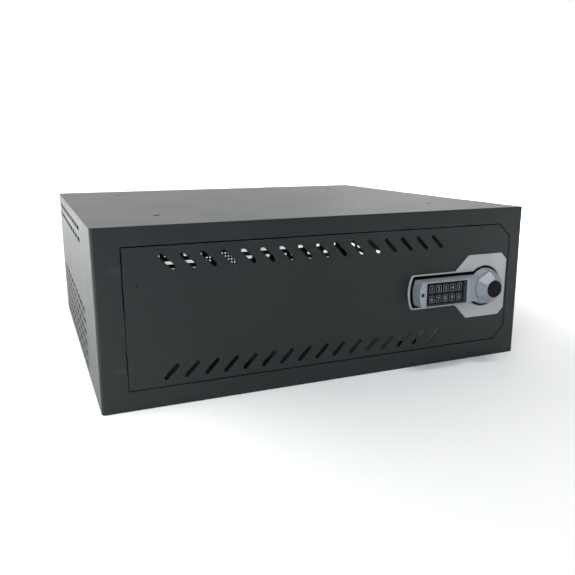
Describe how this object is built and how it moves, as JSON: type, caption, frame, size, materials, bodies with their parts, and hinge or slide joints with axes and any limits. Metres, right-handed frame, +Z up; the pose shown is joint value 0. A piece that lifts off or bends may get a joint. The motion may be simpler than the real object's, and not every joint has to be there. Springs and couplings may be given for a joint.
{
  "type": "ventilated lock box safe",
  "caption": "Low ventilated sheet-steel safe cabinet with an inset hinged door, keypad lock and turning knob.",
  "frame": {"origin": "centre of the underside of the base sheet", "axes": "+Z up; +X to the right for a person facing the door; +Y from the door to the back"},
  "size_m": [0.55, 0.526, 0.2],
  "materials": {
    "cabinet_paint": "dark graphite satin powder coat with a fine texture",
    "escutcheon_paint": "light grey satin paint on a casting",
    "housing_paint": "bluish silver satin paint on a casting",
    "fascia_plastic": "black semi-gloss keypad panel",
    "key_plastic": "black keys with a light outline and digit",
    "cap_plastic": "black satin disc",
    "dark_lens": "dark smoked lens",
    "zinc_plated_steel": "bright zinc plate",
    "case_casting": "grey painted casting",
    "black_plastic": "black moulded plastic",
    "black_rubber": "black rubber edging",
    "brass": "machined brass",
    "copper_winding": "enamelled copper winding",
    "circuit_board": "green solder mask",
    "battery_can": "plain grey cell jacket",
    "wire_cover": "soft wire insulation"
  },
  "bodies": {
    "cabinet": {"left_side_panel": "cabinet_paint", "right_side_panel": "cabinet_paint", "top_panel": "cabinet_paint", "base_panel": "cabinet_paint", "rear_panel": "cabinet_paint", "front_frame": "cabinet_paint", "door_stops": "cabinet_paint", "hinge_bracket_upper": "cabinet_paint", "hinge_bracket_lower": "cabinet_paint", "cable_port_trim": "black_rubber", "strike_bracket": "zinc_plated_steel", "hinge_pin_upper": "zinc_plated_steel", "hinge_pin_lower": "zinc_plated_steel"},
    "door": {"door_panel": "cabinet_paint", "door_stiffener": "cabinet_paint", "hinge_leaf_upper": "cabinet_paint", "hinge_leaf_lower": "cabinet_paint", "door_earth_stud": "zinc_plated_steel", "earth_nut": "zinc_plated_steel", "lock_escutcheon": "escutcheon_paint", "lock_tray": "black_plastic", "keypad_housing": "housing_paint", "keypad_fascia": "fascia_plastic", "keypad_board": "circuit_board", "key_switches": "zinc_plated_steel", "status_lens": "dark_lens", "ribbon_lead": "wire_cover", "lock_case": "case_casting", "lock_cover": "zinc_plated_steel", "cover_screws": "zinc_plated_steel", "lock_screws": "zinc_plated_steel", "solenoid_frame": "zinc_plated_steel", "solenoid_coil": "copper_winding", "control_board": "circuit_board", "battery_holder": "black_plastic", "battery_screws": "zinc_plated_steel", "battery_cover": "black_plastic", "batteries": "battery_can", "battery_lead": "wire_cover"},
    "knob": {"knob": "housing_paint", "override_cylinder": "brass", "spindle": "zinc_plated_steel", "rotor": "zinc_plated_steel", "cam": "zinc_plated_steel", "cam_nut": "zinc_plated_steel"},
    "override_plug": {"override_plug": "brass"},
    "knob_cap": {"knob_cap": "cap_plastic"},
    "blocking_pin": {"blocking_pin": "zinc_plated_steel"},
    "key_1": {"key_1": "key_plastic"},
    "key_2": {"key_2": "key_plastic"},
    "key_3": {"key_3": "key_plastic"},
    "key_4": {"key_4": "key_plastic"},
    "key_5": {"key_5": "key_plastic"},
    "key_6": {"key_6": "key_plastic"},
    "key_7": {"key_7": "key_plastic"},
    "key_8": {"key_8": "key_plastic"},
    "key_9": {"key_9": "key_plastic"},
    "key_0": {"key_0": "key_plastic"}
  },
  "joints": [
    {"name": "door_hinge", "type": "hinge", "parent": "cabinet", "child": "door", "pos_m": [-0.2309, -0.244, 0.099], "axis": [0, 0, 1], "range_deg": [-110, 0]},
    {"name": "knob_turn", "type": "hinge", "parent": "door", "child": "knob", "pos_m": [0.215, -0.25, 0.099], "axis": [0, 1, 0], "range_deg": [0, 90]},
    {"name": "override_turn", "type": "hinge", "parent": "knob", "child": "override_plug", "pos_m": [0.215, -0.25, 0.099], "axis": [0, 1, 0], "range_deg": [0, 90]},
    {"name": "cap_pull", "type": "slide", "parent": "knob", "child": "knob_cap", "axis": [0, -1, 0], "range_m": [0, 0.012]},
    {"name": "blocking_slide", "type": "slide", "parent": "door", "child": "blocking_pin", "axis": [0, 0, 1], "range_m": [0, 0.004]},
    {"name": "key_1_press", "type": "slide", "parent": "door", "child": "key_1", "axis": [0, 1, 0], "range_m": [0, 0.001], "stiffness_N_per_m": 800},
    {"name": "key_2_press", "type": "slide", "parent": "door", "child": "key_2", "axis": [0, 1, 0], "range_m": [0, 0.001], "stiffness_N_per_m": 800},
    {"name": "key_3_press", "type": "slide", "parent": "door", "child": "key_3", "axis": [0, 1, 0], "range_m": [0, 0.001], "stiffness_N_per_m": 800},
    {"name": "key_4_press", "type": "slide", "parent": "door", "child": "key_4", "axis": [0, 1, 0], "range_m": [0, 0.001], "stiffness_N_per_m": 800},
    {"name": "key_5_press", "type": "slide", "parent": "door", "child": "key_5", "axis": [0, 1, 0], "range_m": [0, 0.001], "stiffness_N_per_m": 800},
    {"name": "key_6_press", "type": "slide", "parent": "door", "child": "key_6", "axis": [0, 1, 0], "range_m": [0, 0.001], "stiffness_N_per_m": 800},
    {"name": "key_7_press", "type": "slide", "parent": "door", "child": "key_7", "axis": [0, 1, 0], "range_m": [0, 0.001], "stiffness_N_per_m": 800},
    {"name": "key_8_press", "type": "slide", "parent": "door", "child": "key_8", "axis": [0, 1, 0], "range_m": [0, 0.001], "stiffness_N_per_m": 800},
    {"name": "key_9_press", "type": "slide", "parent": "door", "child": "key_9", "axis": [0, 1, 0], "range_m": [0, 0.001], "stiffness_N_per_m": 800},
    {"name": "key_0_press", "type": "slide", "parent": "door", "child": "key_0", "axis": [0, 1, 0], "range_m": [0, 0.001], "stiffness_N_per_m": 800}
  ]
}
